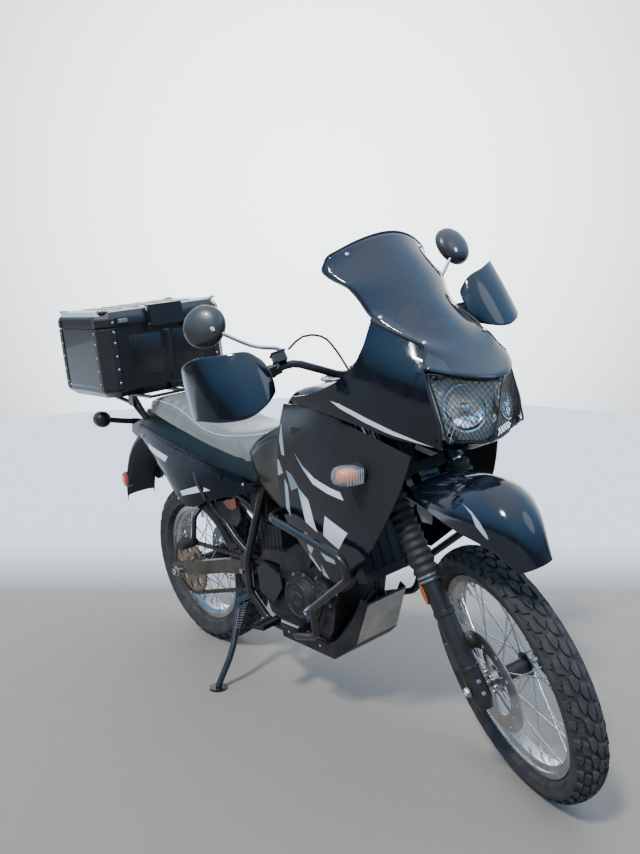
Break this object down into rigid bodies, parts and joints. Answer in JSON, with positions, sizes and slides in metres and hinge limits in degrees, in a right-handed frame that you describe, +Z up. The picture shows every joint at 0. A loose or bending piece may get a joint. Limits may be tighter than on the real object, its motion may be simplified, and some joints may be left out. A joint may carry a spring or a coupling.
{
  "type": "adventure motorcycle",
  "caption": "Adventure motorcycle leaning on its side stand, with wire-spoked wheels, high front fender, screen, crash bars, skid plate and a top case.",
  "frame": {"origin": "on the floor under the middle of the parked machine's bounding box", "axes": "+X forward, +Y to the machine's left, +Z up"},
  "size_m": [2.327, 0.9215, 1.5059],
  "materials": {
    "tyre_rubber": "matte",
    "rim_metal": "satin",
    "spoke_metal": "polished",
    "black_metal": "gloss",
    "satin_black_metal": "satin",
    "steel": "brushed",
    "dark_steel": "satin",
    "fork_chrome": "polished",
    "black_rubber": "matte",
    "black_plastic": "matte",
    "gloss_black": "gloss",
    "engine_metal": "satin",
    "bare_aluminium": "satin",
    "seat_vinyl": "matte",
    "smoke_screen": "gloss",
    "mirror_shell": "gloss",
    "lamp_lens": "clear",
    "red_lens": "gloss",
    "clear_lens": "gloss"
  },
  "bodies": {
    "chassis": {"main_frame": "black_metal", "subframe": "black_metal", "swingarm": "satin_black_metal", "swingarm_bolt": "steel", "rear_axle": "steel", "rear_shock": "dark_steel", "engine": "engine_metal", "sprocket_cover": "black_plastic", "cylinder_head": "engine_metal", "drive_chain": "dark_steel", "engine_sprocket": "dark_steel", "exhaust": "steel", "radiator": "satin_black_metal", "fuel_tank": "gloss_black", "fuel_cap": "steel", "shrouds": "gloss_black", "cowl": "gloss_black", "windscreen": "smoke_screen", "headlight": "lamp_lens", "headlight_guard": "satin_black_metal", "instruments": "black_plastic", "seat": "seat_vinyl", "side_covers": "gloss_black", "rear_fender": "black_plastic", "tail_lamp": "red_lens", "turn_signals": "clear_lens", "case_base": "bare_aluminium", "luggage_rack": "steel", "crash_bars": "satin_black_metal", "skid_plate": "bare_aluminium", "foot_pegs": "steel", "foot_levers": "steel", "rear_caliper": "satin_black_metal"},
    "fork": {"triple_clamps": "satin_black_metal", "fork_tubes": "fork_chrome", "fork_sliders": "satin_black_metal", "fork_gaiters": "black_rubber", "front_axle": "steel", "front_fender": "gloss_black", "front_caliper": "satin_black_metal", "handlebar": "satin_black_metal", "grips": "black_rubber", "hand_controls": "black_plastic", "hand_guards": "black_plastic", "mirrors": "mirror_shell", "control_cables": "black_rubber"},
    "front_wheel": {"front_tyre": "tyre_rubber", "front_rim": "rim_metal", "front_hub": "black_metal", "front_spokes": "spoke_metal", "front_disc": "steel"},
    "rear_wheel": {"rear_tyre": "tyre_rubber", "rear_rim": "rim_metal", "rear_hub": "black_metal", "rear_spokes": "spoke_metal", "rear_disc": "steel", "rear_sprocket": "dark_steel"},
    "stand_leg": {"side_stand": "satin_black_metal"},
    "lid": {"case_lid": "bare_aluminium"}
  },
  "joints": [
    {"name": "steering", "type": "hinge", "parent": "chassis", "child": "fork", "pos_m": [0.45682, 0.02803, 0.91636], "axis": [-0.467, -0.1146, 0.8768], "range_deg": [-14.94, 61.06]},
    {"name": "front_wheel_spin", "type": "hinge", "parent": "fork", "child": "front_wheel", "pos_m": [0.83161, 0.07816, 0.33639], "axis": [0.3467, 0.8884, 0.3008], "continuous": true},
    {"name": "rear_wheel_spin", "type": "hinge", "parent": "chassis", "child": "rear_wheel", "pos_m": [-0.64391, 0.10685, 0.31748], "axis": [0.0004, 0.9915, 0.1298], "continuous": true},
    {"name": "side_stand_fold", "type": "hinge", "parent": "chassis", "child": "stand_leg", "pos_m": [-0.25404, -0.02772, 0.27356], "axis": [-0.1981, 0.8749, -0.4419], "range_deg": [0, 97.51]},
    {"name": "case_lid_open", "type": "hinge", "parent": "chassis", "child": "lid", "pos_m": [-0.74531, -0.01506, 1.24882], "axis": [0.0004, 0.9915, 0.1298], "range_deg": [0, 100]}
  ]
}
